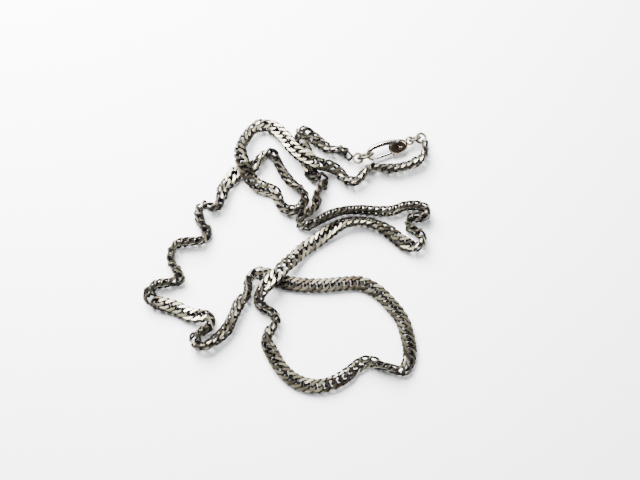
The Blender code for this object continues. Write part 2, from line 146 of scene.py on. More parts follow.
# Routes in the clasp's plane: x, y, half thickness, half height
HOOK_ROUTE = ((2.6, 0.6, 0.8, 1.08), (0.8, 1.12, 0.7, 1.08), (-1.2, 1.32, 0.64, 1.06),
              (-3.2, 1.30, 0.6, 1.02), (-4.6, 1.03, 0.57, 0.96), (-5.5, 0.5, 0.53, 0.84),
              (-5.95, -0.3, 0.5, 0.78), (-5.8, -1.15, 0.46, 0.7), (-5.25, -1.7, 0.42, 0.62),
              (-4.6, -1.92, 0.34, 0.5))
NECK_ROUTE = ((3.9, -0.4, 0.95, 0.85), (4.5, -0.28, 0.72, 0.74), (5.0, -0.22, 0.7, 0.68),
              (5.5, -0.2, 0.62, 0.6))
LEVER_ROUTE = ((2.9, -1.3, 0.42, 0.42), (1.4, -1.72, 0.4, 0.42), (0.0, -1.88, 0.38, 0.42),
               (-1.8, -1.92, 0.37, 0.4), (-3.4, -1.92, 0.37, 0.38), (-4.2, -1.9, 0.3, 0.36))
THUMB_ROUTE = ((1.25, -1.75, 0.3, 0.42), (0.95, -2.3, 0.26, 0.42), (0.75, -2.9, 0.3, 0.42),
               (0.7, -3.15, 0.24, 0.4))
SPRING_ROUTE = ((3.8, 0.1), (2.6, 0.14), (1.6, 0.02), (1.0, -0.3))
CAST_STEP = 0.15
LEVER_STEP = 0.12
SPRING_STEP = 0.1
CAST_VOXEL = 0.075
LEVER_VOXEL = 0.06
SHARP_ANGLE = math.radians(35)

# Wear of the bent rings, and the gap at their butt joint (radians)
RING_STEPS = 96
RING_SIDES = 18
SEAM_HALF_GAP = 0.02
RING_INSET = 0.985
WIRE_INSET = 0.98
SEAM_PINCH = 0.86
WIRE_FLATTENING = 0.06
SEAM_TWIST = 0.05

# Looks of the chain: colour stops, tints, roughness from smooth to dull, and noise scales (1/m)
FACET_TONES = ((0.0, (0.035, 0.031, 0.022)), (0.5, (0.135, 0.122, 0.086)), (1.0, (0.34, 0.318, 0.238)))
FACET_GRIME = (0.13, 0.11, 0.075)
WIRE_TONES = ((0.25, (0.010, 0.009, 0.008)), (0.55, (0.024, 0.020, 0.016)), (0.8, (0.09, 0.077, 0.055)))
# Recess colour: oxide, and painted shade in the gaps between bars
RECESS_OXIDE_AND_SHADE = (0.006, 0.005, 0.004)
OXIDE_TINT = (0.36, 0.35, 0.36)
RUST_TINT = (0.66, 0.40, 0.26)
FACET_ROUGHNESS = ((0.3, 0.30), (0.7, 0.43))
WIRE_ROUGHNESS = ((0.3, 0.50), (0.7, 0.68))
# Depths (mm) where the recess darkening begins and is full, and how far it lowers metallic: oxide plus
# painted shade
RECESS_DEPTH = ((0.02, 0.0), (0.18, 1.0))
RECESS_DULLNESS = 0.35
SMOKE_SCALE = 260.0
GRAIN_SCALE = 1900.0
PATCH_SCALE = 75.0
STRETCH_SCALE = 38.0

# Looks of the smooth pieces: bright colour, stain colour, roughness and stain scale
POLISHED_LOOK = ((0.40, 0.375, 0.34), (0.17, 0.14, 0.115), 0.16, 300.0)
# Brown painted reflection for the bulb's sunk panels, also laid on the neck's broad faces
BROWN_REFLECTION_LOOK = ((0.17, 0.105, 0.075), (0.40, 0.27, 0.20), 0.08, 420.0)
WORN_LOOK = ((0.14, 0.122, 0.092), (0.022, 0.018, 0.013), 0.30, 700.0)
STEEL_LOOK = ((0.42, 0.42, 0.43), (0.16, 0.15, 0.15), 0.3, 600.0)
SCRATCH_SCALE = 900.0
SCRATCH_STRETCH = (1.0, 7.0, 7.0)
SCRATCH_DULLNESS = 0.16
CHAIN_BUMP = 0.12
SMOOTH_BUMP = 0.08
BUMP_DISTANCE = 0.00003

# Camera, floor and light
VIEW_TARGET = (8.47, 3.49, 1.0)
VIEW_WIDTH = 170.7
VIEW_ELEVATION = 79.0
LENS = 60.0
SENSOR = 36.0
CLIP_START = 0.01
FLOOR_HALF_SIZE = 0.9
FLOOR_SCALE = 6.0
FLOOR_TONES = ((0.3, (0.80, 0.81, 0.83)), (0.7, (0.83, 0.84, 0.855)))
FLOOR_ROUGHNESS = 0.75
SKY_TONES = ((0.0, (0.62, 0.64, 0.66)), (0.55, (0.50, 0.52, 0.54)),
             (0.86, (0.26, 0.265, 0.275)), (0.97, (0.07, 0.07, 0.075)))
SKY_STRENGTH = 0.33
# Area lights: place and size in metres, power in watts, colour
KEY_LIGHT = ("key", (-0.09, 0.18, 0.21), 0.22, 11.5, (1.0, 0.99, 0.97))
FILL_LIGHT = ("fill", (0.42, 0.02, 0.42), 0.30, 2.5, (0.95, 0.97, 1.0))

# The chain's middle line from tail to catch: x, y, lift above the surface (mm) and roll (degrees)
ROUTE = (
    # down from the tail and back under the clasp
    (36.3, 29, 0, 88), (36.2, 27, 0, 85), (34.8, 25, 0, 75), (31.5, 23.5, 0, 62),
    (28.5, 22.8, 0, 60), (26, 22.7, 0, 60), (23, 23, 0, 70), (20.9, 22.5, 0, 80), (19.3, 20.6, 0, 75),
    (17, 18.9, 0, 68), (14.5, 20, 0, 60), (13, 22, 0, 45), (10, 23.3, 1.2, 30), (7.5, 23.3, 2.7, 20),
    # over the strand below it and up the right leg of the tall arch
    (5, 24.5, 3, 10), (2, 26.5, 3, 5), (-0.3, 29.2, 2.6, 0), (-2.4, 32.2, 1, 0), (-5, 34.5, 0, 8),
    (-7.5, 35, 0, 22), (-10.5, 33.5, 0, 42), (-12.5, 30.5, 0.2, 52), (-13.5, 27, 2.2, 35),
    # over the strand that enters the small arch, then the low loop to the right
    (-12.5, 23.5, 3, 15), (-11.2, 20.4, 2.2, 20), (-9, 18, 0.4, 45), (-6, 17, 0, 62),
    (-4, 16, 0, 75), (-3, 13.5, 0, 72), (-1.5, 11.5, 0, 75), (1.2, 11.2, 0, 85), (3, 12.4, 0, 90),
    (4, 14.5, 0, 90), (2.8, 16.8, 0, 80),
    # small inner arch
    (0.5, 18.5, 0, 60), (-1.5, 21, 0, 62), (-3, 23.5, 0, 72), (-4, 26, 0, 80), (-6, 27, 0, 80),
    (-8, 25.5, 0, 75), (-9.3, 23.8, 0, 35), (-11.3, 23, 0, 6), (-13.5, 22.6, 0, 0), (-15, 21.2, 0, 5),
    # down the left side in kinks
    (-16.3, 19.3, 0, 15), (-18, 17, 0, 40), (-18.5, 14, 0, 55), (-20.3, 11.8, 0, 80),
    (-23, 12.5, 0, 88), (-24.5, 10.5, 0, 90), (-23.5, 7.5, 0, 82), (-22, 5, 0, 88),
    (-23.5, 3, 0, 90), (-27.5, 2.5, 0, 90), (-30.5, 1.5, 0, 92), (-31.5, -1.5, 0, 95),
    (-30.8, -4, 0, 95), (-29.2, -5.6, 0, 92), (-29.4, -7.6, 0, 92), (-31.8, -8.4, 0, 95),
    (-34.8, -9, 0, 100), (-36.8, -10.4, 0, 105), (-36.8, -12.4, 0, 125),
    # flat stretch at the lower left, a twist, and the climb back
    (-34.5, -13.8, 0, 160), (-30, -15, 0, 175), (-26, -17, 0, 172), (-23, -17.2, 0, 150),
    (-21, -17.6, 0, 115), (-20.6, -19.4, 0, 98), (-22.2, -21.1, 0, 95),
    (-24.3, -22.2, 0, 95), (-24.5, -24.5, 0, 90),
    (-22.5, -25.2, 0, 100), (-19.3, -23.5, 0, 130), (-16.5, -20.8, 0, 145), (-14.7, -17.2, 0, 125),
    (-13, -13.5, 0, 140), (-11, -11, 0, 115), (-11, -8, 0, 105), (-9.5, -6, 0, 130),
    (-6.5, -6, 0, 175), (-3.5, -7.5, 0, 180),
    # the wide lower right loop
    (0, -8.5, 0, 180), (4.5, -9, 0, 180), (9.5, -9, 0, 180), (14.5, -8.5, 0, 180),
    (19, -8.5, 0, 180), (23, -10.5, 0, 180), (26.5, -14, 0, 180), (29.5, -18, 0, 180),
    (31, -23, 0, 180), (31.5, -27, 0, 165), (30.5, -30.5, 0, 135), (28.5, -31.5, 0, 110),
    (25.5, -30.5, 0, 95), (23, -30, 0, 95), (20.5, -29, 0, 115), (17.5, -30.5, 0, 140),
    (14.5, -33, 0, 155), (10.5, -35, 0, 170), (6.5, -35.5, 0, 180), (1.5, -34, 0, 180),
    (-2, -31, 0, 180), (-4.5, -27, 0, 165), (-6, -23.5, 0, 130), (-5, -21, 0, 120),
    (-3.5, -18.5, 0, 110), (-5, -16, 0, 100), (-7.5, -14.5, 0, 108), (-8, -12.5, 1.2, 115),
    # over the strand into the loop and up the long diagonal
    (-6, -9.5, 3, 160), (-3.5, -7, 3.2, 175), (-1.5, -4.5, 2.6, 188), (1, -2, 1.1, 185),
    (3.5, 0.5, 0.2, 182), (7.1, 2.9, 0, 180), (10.8, 5.6, 0, 160), (14.5, 7.6, 0, 132), (19, 8.1, 0, 125),
    (23.5, 7, 0, 132), (27, 5, 0, 160), (30, 2.5, 0, 175), (33, 1.3, 0, 145), (35, 2.2, 0, 110),
    # folded end at the right and the strand back beside it
    (35, 4.2, 0, 95), (33.2, 5.6, 0, 92), (31.6, 7.2, 0, 90), (32.2, 8.9, 0, 90), (34.4, 9, 0, 90),
    (36.3, 9.5, 0, 90), (36.6, 11.3, 0, 90), (34.8, 12.2, 0, 92), (32.5, 12.4, 0, 95),
    (30, 12, 0, 100), (27.5, 11, 0, 102), (24, 10.8, 0, 100),
    (19, 11.2, 0, 96), (14.5, 11, 0, 95), (10.5, 9.8, 0, 98), (7.5, 8.2, 0, 97), (4.4, 6.9, 0, 95),
    # up the middle, under the arch's leg, and across to the clasp's hook
    (2.4, 7.8, 0, 94), (3.2, 9.5, 0, 92), (5.4, 10.8, 0, 92), (7.1, 13, 0, 95), (7.1, 15.4, 0, 98),
    (8.2, 17.2, 0, 95), (9.2, 18.6, 0, 92), (8.6, 20, 0, 95), (6.6, 20.4, 0, 120), (5.2, 21.8, 0, 160),
    (4.8, 24.5, 0, 176), (4.1, 27.2, 0, 176), (2.9, 29.7, 0, 165), (2.1, 31.9, 0, 125),
    (3.2, 33.2, 0, 95), (4.8, 32.8, 0, 110), (6, 31.5, 0, 140),
    (8.5, 29.5, 0, 140), (11, 27.8, 0, 125), (13, 28, 0, 100), (14.5, 27.5, 0, 95),
    (15.5, 26, 0, 95),
)

# Links in each run, in order along the route
RUN_LINKS = (5, 4, 6, 6, 6, 6, 6, 6, 6, 6, 6, 6, 8, 7, 7, 7, 7, 6, 7, 7, 7, 6,
             6, 6, 6, 6, 6, 6, 6, 6, 6, 6, 6, 6, 6, 6, 6, 6, 6, 6, 4, 4, 6, 5, 5)


def section_outline():
    """Return the chain's flattened oval section as x, y pairs round the middle."""
    half_w, half_t = CHAIN_WIDTH / 2, CHAIN_THICKNESS / 2
    flat_w, flat_t = FACE_FLAT / 2, EDGE_FLAT / 2
    return ((half_w, -flat_t), (half_w, flat_t), (flat_w, half_t), (-flat_w, half_t),
            (-half_w, flat_t), (-half_w, -flat_t), (-flat_w, -half_t), (flat_w, -half_t))


def half_height(roll):
    """Return how far the section reaches below its middle when it is rolled."""
    turn = math.radians(roll)
    return max(abs(x * math.sin(turn) + y * math.cos(turn)) for x, y in section_outline())


def spline_point(points, index, t):
    """Interpolate between points[index] and the next with a centripetal Catmull-Rom spline."""
    last = len(points) - 1
    quad = [points[min(max(index + offset, 0), last)] for offset in (-1, 0, 1, 2)]
    if index == 0:
        quad[0] = tuple(2 * a - b for a, b in zip(points[0], points[1]))
    if index == last - 1:
        quad[3] = tuple(2 * a - b for a, b in zip(points[last], points[last - 1]))
    knots = [0.0]
    for a, b in zip(quad, quad[1:]):
        knots.append(knots[-1] + max(math.sqrt(math.dist(a[:2], b[:2])), 1e-6))
    u = knots[1] + t * (knots[2] - knots[1])

    def mix(a, b, ka, kb):
        return tuple(((kb - u) * x + (u - ka) * y) / (kb - ka) for x, y in zip(a, b))

    low = mix(quad[0], quad[1], knots[0], knots[1])
    mid = mix(quad[1], quad[2], knots[1], knots[2])
    high = mix(quad[2], quad[3], knots[2], knots[3])
    low_mid = mix(low, mid, knots[0], knots[2])
    mid_high = mix(mid, high, knots[1], knots[3])
    return mix(low_mid, mid_high, knots[1], knots[2])


def even_steps(rows, step):
    """Resample rows of x, y, ... to equal steps along the x, y path."""
    lengths = [0.0]
    for a, b in zip(rows, rows[1:]):
        lengths.append(lengths[-1] + math.dist(a[:2], b[:2]))
    count = int(lengths[-1] / step)
    result = []
    index = 0
    for k in range(count + 1):
        s = k * step
        while index < len(rows) - 2 and lengths[index + 1] < s:
            index += 1
        t = (s - lengths[index]) / max(lengths[index + 1] - lengths[index], 1e-9)
        result.append(tuple(a + (b - a) * t for a, b in zip(rows[index], rows[index + 1])))
    return result


def smooth(rows, half_window):
    """Average each row with its neighbours, with a window that shrinks at the ends."""
    result = []
    for i in range(len(rows)):
        reach = min(half_window, i, len(rows) - 1 - i)
        window = rows[i - reach:i + reach + 1]
        result.append(tuple(sum(column) / len(window) for column in zip(*window)))
    return result


def chain_path():
    """Return the chain's middle line as rows of x, y, z, roll at equal steps."""
    fine = []
    for index in range(len(ROUTE) - 1):
        fine.extend(spline_point(ROUTE, index, k / SPLINE_PARTS) for k in range(SPLINE_PARTS))
    fine.append(tuple(ROUTE[-1]))
    rows = even_steps(fine, ROUTE_STEP)
    rows = smooth(smooth(rows, SMOOTH_HALF_WINDOW), SMOOTH_HALF_WINDOW)
    rows = even_steps(rows, ROUTE_STEP)
    path = []
    for x, y, lift, roll in rows:
        clearance = EDGE_CLEARANCE * abs(math.sin(math.radians(roll)))
        height = lift + half_height(roll) + clearance
        path.append((x + HEAP_SHIFT[0], y + HEAP_SHIFT[1], height, roll))
    return path


def run_spans():
    """Return the start and end distance of each run; neighbours share a pivot."""
    spans = []
    s = 0.0
    for links in RUN_LINKS:
        spans.append((s, s + links * LINK_PITCH))
        s += links * LINK_PITCH
    return spans


# ---------------------------------------------------------------- materials

def new_material(name):
    """Start a node material and return it with its tree and Principled shader."""
    material = bpy.data.materials.new(name)
    material.use_nodes = True
    tree = material.node_tree
    return material, tree, tree.nodes["Principled BSDF"]


def node(tree, kind, **values):
    """Add a node; values name its properties or its inputs."""
    made = tree.nodes.new(kind)
    for key, value in values.items():
        if hasattr(made, key):
            setattr(made, key, value)
        else:
            made.inputs[key.replace("_", " ")].default_value = value
    return made


def ramp(tree, source, stops):
    """Map a value through a colour ramp of (position, colour or grey) stops."""
    made = tree.nodes.new("ShaderNodeValToRGB")
    elements = made.color_ramp.elements
    while len(elements) < len(stops):
        elements.new(0.5)
    for element, (position, colour) in zip(elements, stops):
        element.position = position
        grey = isinstance(colour, float)
        element.color = (colour, colour, colour, 1.0) if grey else (*colour, 1.0)
    tree.links.new(source, made.inputs["Fac"])
    return made.outputs["Color"]


def mix(tree, factor, a, b, blend="MIX"):
    """Blend two colours; each argument is a socket or a plain value."""
    made = tree.nodes.new("ShaderNodeMix")
    made.data_type = "RGBA"
    made.blend_type = blend
    for socket, value in ((made.inputs[0], factor), (made.inputs[6], a), (made.inputs[7], b)):
        if isinstance(value, bpy.types.NodeSocket):
            tree.links.new(value, socket)
        elif isinstance(value, tuple):
            socket.default_value = (*value, 1.0)
        else:
            socket.default_value = value
    return made.outputs[2]


def noise(tree, coords, scale, detail, roughness):
    """Add a noise texture on the given coordinates and return its value."""
    made = node(tree, "ShaderNodeTexNoise", Scale=scale, Detail=detail, Roughness=roughness)
    tree.links.new(coords, made.inputs["Vector"])
    return made.outputs["Fac"]


def math_node(tree, operation, a, b):
    """Add a math node; each argument is a socket or a number."""
    made = tree.nodes.new("ShaderNodeMath")
    made.operation = operation
    for socket, value in zip(made.inputs, (a, b)):
        if isinstance(value, bpy.types.NodeSocket):
            tree.links.new(value, socket)
        else:
            socket.default_value = value
    return made.outputs[0]


def chain_silver():
    """Oxidised silver: bright cut facets, black-brown recesses that hold oxide and painted shade, and
    tarnish in warm patches.
    """
    material, tree, shader = new_material("oxidised_silver")
    coords = node(tree, "ShaderNodeTexCoord").outputs["Object"]
    cut = node(tree, "ShaderNodeAttribute", attribute_name="cut").outputs["Fac"]
    depth = node(tree, "ShaderNodeAttribute", attribute_name="depth").outputs["Fac"]
    tone = node(tree, "ShaderNodeAttribute", attribute_name="tone").outputs["Fac"]
    smoke = noise(tree, coords, SMOKE_SCALE, 5.0, 0.6)
    grain = noise(tree, coords, GRAIN_SCALE, 4.0, 0.6)
    patch = noise(tree, coords, PATCH_SCALE, 3.0, 0.5)
    stretch = noise(tree, coords, STRETCH_SCALE, 2.0, 0.5)
    # colour of the cut facets: cream silver that varies link by link
    facet = ramp(tree, tone, FACET_TONES)
    facet = mix(tree, ramp(tree, grain, ((0.42, 0.0), (0.75, 0.5))), facet, FACET_GRIME)
    # colour of the round wire that the cut leaves: brown-grey oxide
    wire = ramp(tree, smoke, WIRE_TONES)
    # deeper in the recesses the wire goes black: oxide there, and painted shade between the bars
    deep = ramp(tree, depth, RECESS_DEPTH)
    wire = mix(tree, deep, wire, RECESS_OXIDE_AND_SHADE)
    # whole stretches of the chain are more oxidised than the rest
    oxidised = ramp(tree, stretch, ((0.46, 0.0), (0.62, 0.75)))
    facet = mix(tree, oxidised, facet, OXIDE_TINT, "MULTIPLY")
    colour = mix(tree, cut, wire, facet)
    rust = ramp(tree, patch, ((0.63, 0.0), (0.76, 0.8)))
    colour = mix(tree, rust, colour, RUST_TINT, "MULTIPLY")
    tree.links.new(colour, shader.inputs["Base Color"])
    rough = ramp(tree, smoke, FACET_ROUGHNESS)
    rough = mix(tree, cut, ramp(tree, smoke, WIRE_ROUGHNESS), rough)
    tree.links.new(rough, shader.inputs["Roughness"])
    # the recesses' painted shade also lowers metallic, so the gaps reflect little
    metal = math_node(tree, "SUBTRACT", 1.0, math_node(tree, "MULTIPLY", deep, RECESS_DULLNESS))
    tree.links.new(metal, shader.inputs["Metallic"])
    add_bump(tree, shader, grain, CHAIN_BUMP)
    return material


def add_bump(tree, shader, height, strength):
    """Feed a height into the shader's normal."""
    bump = node(tree, "ShaderNodeBump", Strength=strength, Distance=BUMP_DISTANCE)
    tree.links.new(height, bump.inputs["Height"])
    tree.links.new(bump.outputs["Normal"], shader.inputs["Normal"])


def polished_silver(name, bright, dull, roughness, scale):
    """Polished or worn silver: hairline scratches and faint stains."""
    material, tree, shader = new_material(name)
    coords = node(tree, "ShaderNodeTexCoord").outputs["Object"]
    stains = noise(tree, coords, scale, 5.0, 0.6)
    lengthened = node(tree, "ShaderNodeMapping", Scale=SCRATCH_STRETCH)
    tree.links.new(coords, lengthened.inputs["Vector"])
    scratches = noise(tree, lengthened.outputs["Vector"], SCRATCH_SCALE, 3.0, 0.7)
    colour = ramp(tree, stains, ((0.38, bright), (0.68, dull)))
    colour = mix(tree, ramp(tree, scratches, ((0.55, 0.0), (0.75, 0.35))), colour, dull)
    tree.links.new(colour, shader.inputs["Base Color"])
    shader.inputs["Metallic"].default_value = 1.0
    tree.links.new(ramp(tree, scratches, ((0.3, roughness), (0.8, roughness + SCRATCH_DULLNESS))),
                   shader.inputs["Roughness"])
    add_bump(tree, shader, scratches, SMOOTH_BUMP)
    return material


def paper_white():
    """The plain pale floor."""
    material, tree, shader = new_material("pale_floor")
    coords = node(tree, "ShaderNodeTexCoord").outputs["Object"]
    cloud = noise(tree, coords, FLOOR_SCALE, 3.0, 0.5)
    tree.links.new(ramp(tree, cloud, FLOOR_TONES), shader.inputs["Base Color"])
    shader.inputs["Roughness"].default_value = FLOOR_ROUGHNESS
    return material


# ---------------------------------------------------------------- links

def link_line(t):
    """Return the middle of a curb link's wire at an angle: along, across and up (mm)."""
    wave = math.tanh(LAYER_SHARPNESS * math.sin(2 * t)) / math.tanh(LAYER_SHARPNESS)
    x, y = (math.copysign(abs(v) ** LINK_SQUARENESS, v) for v in (math.cos(t), math.sin(t)))
    return Vector((LINK_HALF_LENGTH * x, LINK_HALF_WIDTH * y, -LINK_LAYER * wave))


def sweep_loop(line, steps, sides, radius):
    """Sweep a round wire along a closed line of one turn and return a bmesh."""
    shell = bmesh.new()
    rings = []
    for i in range(steps):
        t = 2 * math.pi * i / steps
        centre = line(t)
        tangent = (line(t + TANGENT_STEP) - line(t - TANGENT_STEP)).normalized()
        out = Vector((centre.x, centre.y, 0.0))
        out = (out - tangent * out.dot(tangent)).normalized()
        up = tangent.cross(out)
        rings.append([shell.verts.new(centre + radius * (math.cos(a) * out + math.sin(a) * up))
                      for a in (2 * math.pi * j / sides for j in range(sides))])
    for i in range(steps):
        a, b = rings[i], rings[(i + 1) % steps]
        for j in range(sides):
            k = (j + 1) % sides
            shell.faces.new((a[j], a[k], b[k], b[j]))
    bmesh.ops.recalc_face_normals(shell, faces=shell.faces)
    return shell


def cut_planes():
    """Return the planes of the diamond cut as (point, outward normal) pairs."""
    planes = []
    for across in (-1, 1):
        planes.append(((0, across * CUT_EDGE, 0), (0, across, 0)))
        for up in (-1, 1):
            planes.append(((0, 0, up * (CUT_TOP + CUT_RIDGE_RISE)),
                           (0, across * math.sin(CUT_RIDGE_TILT), up * math.cos(CUT_RIDGE_TILT))))
            planes.append(((0, across * CUT_CHAMFER_AT[0], up * CUT_CHAMFER_AT[1]),
                           (0, across * math.sin(CUT_CHAMFER_TILT), up * math.cos(CUT_CHAMFER_TILT))))
    return planes


def section_depth(y, z):
    """Return how deep a point of a link lies below the chain's cut outline (mm)."""
    return max(0.0, min((point[1] - y) * normal[1] + (point[2] - z) * normal[2]
                        for point, normal in cut_planes()))


def link_template():
    """Make one link: a twisted loop of wire whose outside is cut to flat facets.

    Returns its points, its faces, which faces are facets, and each point's depth.
    """
    shell = sweep_loop(link_line, LINK_STEPS, LINK_SIDES, LINK_WIRE)
    facet = shell.faces.layers.int.new("facet")
    for point, normal in cut_planes():
        geometry = shell.verts[:] + shell.edges[:] + shell.faces[:]
        cut = bmesh.ops.bisect_plane(shell, geom=geometry, plane_co=point, plane_no=normal,
                                     clear_outer=True, dist=1e-6)
        edges = [e for e in cut["geom_cut"] if isinstance(e, bmesh.types.BMEdge) and e.is_boundary]
        if edges:
            filled = bmesh.ops.holes_fill(shell, edges=edges, sides=0)
            for face in filled["faces"]:
                face[facet] = 1
    bmesh.ops.dissolve_degenerate(shell, edges=shell.edges, dist=WELD_DISTANCE)
    bmesh.ops.recalc_face_normals(shell, faces=shell.faces)
    shell.verts.index_update()
    points = np.array([v.co[:] for v in shell.verts])
    faces = [[v.index for v in f.verts] for f in shell.faces]
    facets = [f[facet] for f in shell.faces]
    shell.free()
    depth = np.array([section_depth(p[1], p[2]) for p in points])
    return points, faces, facets, depth


class Track:
    """The chain's middle line as arrays, with its frame at every step."""

    def __init__(self):
        rows = np.array(chain_path())
        self.points = rows[:, :3]
        self.roll = np.radians(rows[:, 3])
        ahead = np.roll(self.points, -TRACK_REACH, axis=0)
        back = np.roll(self.points, TRACK_REACH, axis=0)
        ahead[-TRACK_REACH:] = self.points[-1]
        back[:TRACK_REACH] = self.points[0]
        self.along = ahead - back
        self.along /= np.linalg.norm(self.along, axis=1)[:, None]
        self.length = (len(rows) - 1) * ROUTE_STEP

    def at(self, s):
        """Return middle points, directions along, across and outward at distances s."""
        k = np.clip(s / ROUTE_STEP, 0, len(self.points) - 1.001)
        i = k.astype(int)
        f = (k - i)[:, None]
        middle = self.points[i] * (1 - f) + self.points[i + 1] * f
        along = self.along[i] * (1 - f) + self.along[i + 1] * f
        along /= np.linalg.norm(along, axis=1)[:, None]
        beyond = s - np.clip(s, 0, self.length)
        middle = middle + along * beyond[:, None]
        roll = (self.roll[i] * (1 - f[:, 0]) + self.roll[i + 1] * f[:, 0])[:, None]
        side = np.cross(along, (0.0, 0.0, 1.0))
        side /= np.linalg.norm(side, axis=1)[:, None]
        up = np.cross(side, along)
        across = np.cos(roll) * side - np.sin(roll) * up
        outward = np.sin(roll) * side + np.cos(roll) * up
        return middle, along, across, outward

    def bend(self, s):
        """Return how far the track turns around distance s beyond an easy curve (radians)."""
        along = self.at(np.array([s - BEND_REACH, s + BEND_REACH]))[1]
        turn = math.acos(max(-1.0, min(1.0, float(along[0] @ along[1]))))
        return min(max(turn - EASY_BEND, 0.0), 1.0)


def place_link(track, template, s, rng):
    """Return a link's points, bent gently along the track around distance s (mm)."""
    points = template.copy()
    loose = 1.0 + BEND_LOOSENESS * track.bend(s)
    roll = rng.gauss(0, LINK_ROLL_JITTER) * loose
    yaw = rng.gauss(0, LINK_YAW_JITTER) * loose
    turn = Matrix.Rotation(roll, 3, "X") @ Matrix.Rotation(yaw, 3, "Z")
    points = points @ np.array(turn).T
    points[:, 0] += rng.gauss(0, LINK_SLIDE_JITTER) * loose
    middle, along, across, outward = track.at(s + points[:, 0])
    bent = middle - across * points[:, 1:2] + outward * points[:, 2:3]
    middle, along, across, outward = track.at(np.array([float(s)]))
    stiff = middle + along * points[:, :1] - across * points[:, 1:2] + outward * points[:, 2:3]
    for share in LINK_STIFFNESS:
        placed = bent * (1 - share) + stiff * share
        if inside_box(placed):
            break
    return placed


def inside_box(points):
    """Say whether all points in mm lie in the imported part's box."""
    low, high = np.array(CAD_BOX[0]) / MM, np.array(CAD_BOX[1]) / MM
    return bool((points >= low).all() and (points <= high).all())


def make_object(name, points, faces, material, smooth):
    """Make a mesh object from points in mm; smooth says which faces are shaded smooth."""
    mesh = bpy.data.meshes.new(name)
    mesh.from_pydata([tuple(p) for p in np.asarray(points) * MM], [], faces)
    mesh.update()
    mesh.materials.append(material)
    mesh.polygons.foreach_set("use_smooth", smooth)
    obj = bpy.data.objects.new(name, mesh)
    bpy.context.scene.collection.objects.link(obj)
    return obj


def add_attribute(obj, name, values, domain):
    """Store a number for each point or face."""
    attribute = obj.data.attributes.new(name, "FLOAT", domain)
    attribute.data.foreach_set("value", np.asarray(values, np.float32))


def body_of_node(name):
    """Return the body that moves a CAD node."""
    for body, members in frame["record"]["behaviour"]["bodies"].items():
        if name in members:
            return body
    return None


def make_chain(material):
    """Make every run of links on its own body."""
    points, faces, facets, depth = link_template()
    track = Track()
    rng = random.Random(SEED)
    count = len(points)
    for number, (span, links) in enumerate(zip(run_spans(), RUN_LINKS), start=1):
        all_points, all_faces, tone = [], [], []
        for k in range(links):
            s = span[0] + (k + 0.5) * LINK_PITCH
            placed = place_link(track, points, s, rng)
            placed = np.clip(placed, np.array(CAD_BOX[0]) / MM, np.array(CAD_BOX[1]) / MM)
            all_faces.extend([[index + count * k for index in face] for face in faces])
            all_points.append(placed)
            tone.extend([min(1.0, max(0.0, rng.gauss(TONE_MIDDLE, TONE_SPREAD)))] * len(faces))
        name = f"run_{number:02d}"
        obj = make_object(f"links_{number:02d}", np.vstack(all_points), all_faces, material,
                          [not f for f in facets] * links)
        add_attribute(obj, "cut", facets * links, "FACE")
        add_attribute(obj, "tone", tone, "FACE")
        add_attribute(obj, "depth", np.tile(depth, links), "POINT")
        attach(obj, body_of_node(name))
        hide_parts(name)


# ---------------------------------------------------------------- stage

def make_floor():
    """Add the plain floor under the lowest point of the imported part."""
    shell = bmesh.new()
    bmesh.ops.create_grid(shell, x_segments=8, y_segments=8, size=FLOOR_HALF_SIZE)
    mesh = bpy.data.meshes.new("floor")
    shell.to_mesh(mesh)
    shell.free()
    mesh.materials.append(paper_white())
    floor = bpy.data.objects.new("floor", mesh)
    floor.location.z = CAD_BOX[0][2]
    bpy.context.scene.collection.objects.link(floor)


def make_world():
    """Add a soft studio surround that is brightest at the horizon and dark overhead."""
    world = bpy.data.worlds.new("studio")
    world.use_nodes = True
    tree = world.node_tree
    background = tree.nodes["Background"]
    direction = node(tree, "ShaderNodeSeparateXYZ")
    tree.links.new(node(tree, "ShaderNodeTexCoord").outputs["Generated"], direction.inputs[0])
    tree.links.new(ramp(tree, direction.outputs["Z"], SKY_TONES), background.inputs["Color"])
    background.inputs["Strength"].default_value = SKY_STRENGTH
    bpy.context.scene.world = world


def make_camera():
    """Add the camera at the photograph's angle, looking down on the chain."""
    target = Vector(VIEW_TARGET) * MM
    distance = VIEW_WIDTH * MM * LENS / SENSOR
    elevation = math.radians(VIEW_ELEVATION)
    camera = bpy.data.objects.new("camera", bpy.data.cameras.new("camera"))
    camera.data.lens = LENS
    camera.data.sensor_width = SENSOR
    camera.data.clip_start = CLIP_START
    camera.location = target + distance * Vector((0, -math.cos(elevation), math.sin(elevation)))
    camera.rotation_euler = (target - camera.location).to_track_quat("-Z", "Y").to_euler()
    bpy.context.scene.collection.objects.link(camera)
    bpy.context.scene.camera = camera


def add_area(name, place, size, power, colour):
    """Add a square area light that faces the object."""
    light = bpy.data.lights.new(name, "AREA")
    light.size = size
    light.energy = power
    light.color = colour
    obj = bpy.data.objects.new(name, light)
    obj.location = place
    obj.rotation_euler = (-Vector(place)).to_track_quat("-Z", "Y").to_euler()
    bpy.context.scene.collection.objects.link(obj)


# ---------------------------------------------------------------- clasp and rings

def smooth_route(route, step):
    """Return the rows of a given route interpolated at small steps."""
    fine = []
    for index in range(len(route) - 1):
        fine.extend(spline_point(route, index, k / SPLINE_PARTS) for k in range(SPLINE_PARTS))
    fine.append(tuple(route[-1]))
    return even_steps(fine, step)


